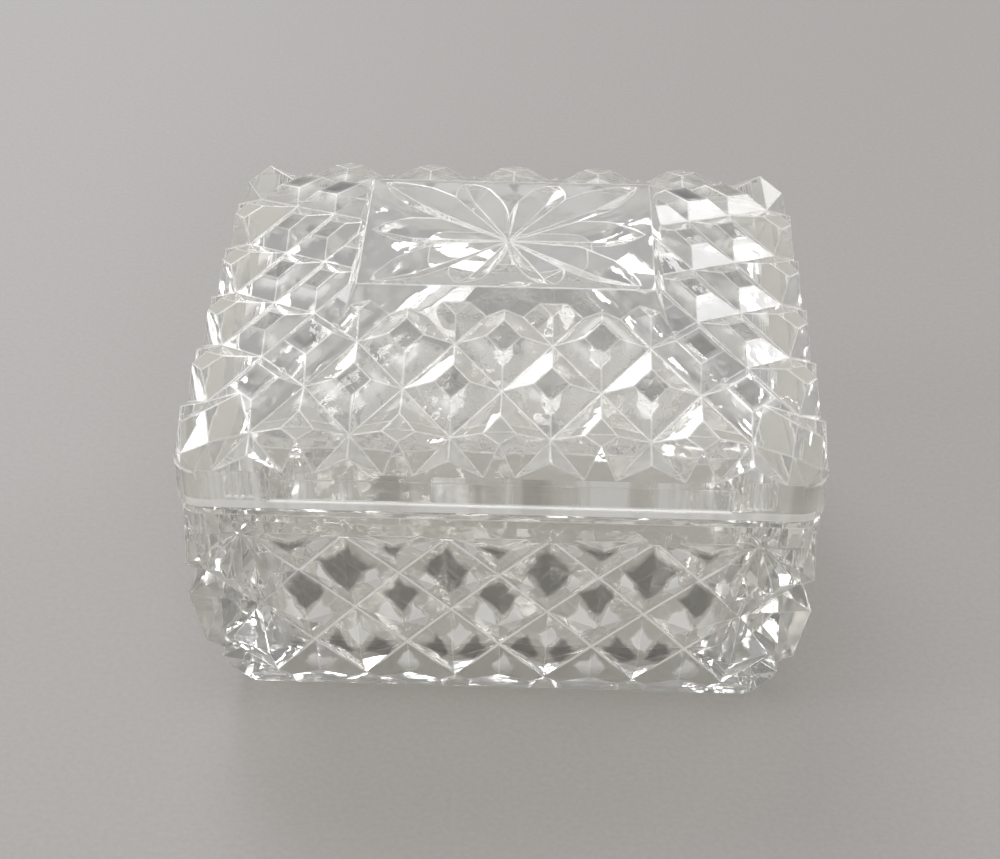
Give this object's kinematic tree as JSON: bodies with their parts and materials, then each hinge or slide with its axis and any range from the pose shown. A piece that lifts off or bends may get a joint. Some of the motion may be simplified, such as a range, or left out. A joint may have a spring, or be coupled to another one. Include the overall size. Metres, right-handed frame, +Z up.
{
  "type": "glass casket box",
  "caption": "Clear glass casket box for keepsakes, cut all over with diamonds, with fans at its corners and a flower panel on its lift-off lid.",
  "frame": {"origin": "middle of the flat face the box stands on", "axes": "+Z up through the lid, +X along the box's length, -Y towards the long side that faces the viewer"},
  "size_m": [0.1172, 0.0988, 0.0784],
  "materials": {
    "base_glass": "fire-polished clear glass",
    "lid_glass": "fire-polished clear glass"
  },
  "bodies": {
    "base": {"base": "base_glass"},
    "lid": {"lid": "lid_glass"}
  },
  "joints": [
    {"name": "lid_lift", "type": "slide", "parent": "base", "child": "lid", "axis": [0, 0, 1], "range_m": [0, 0.08]}
  ]
}
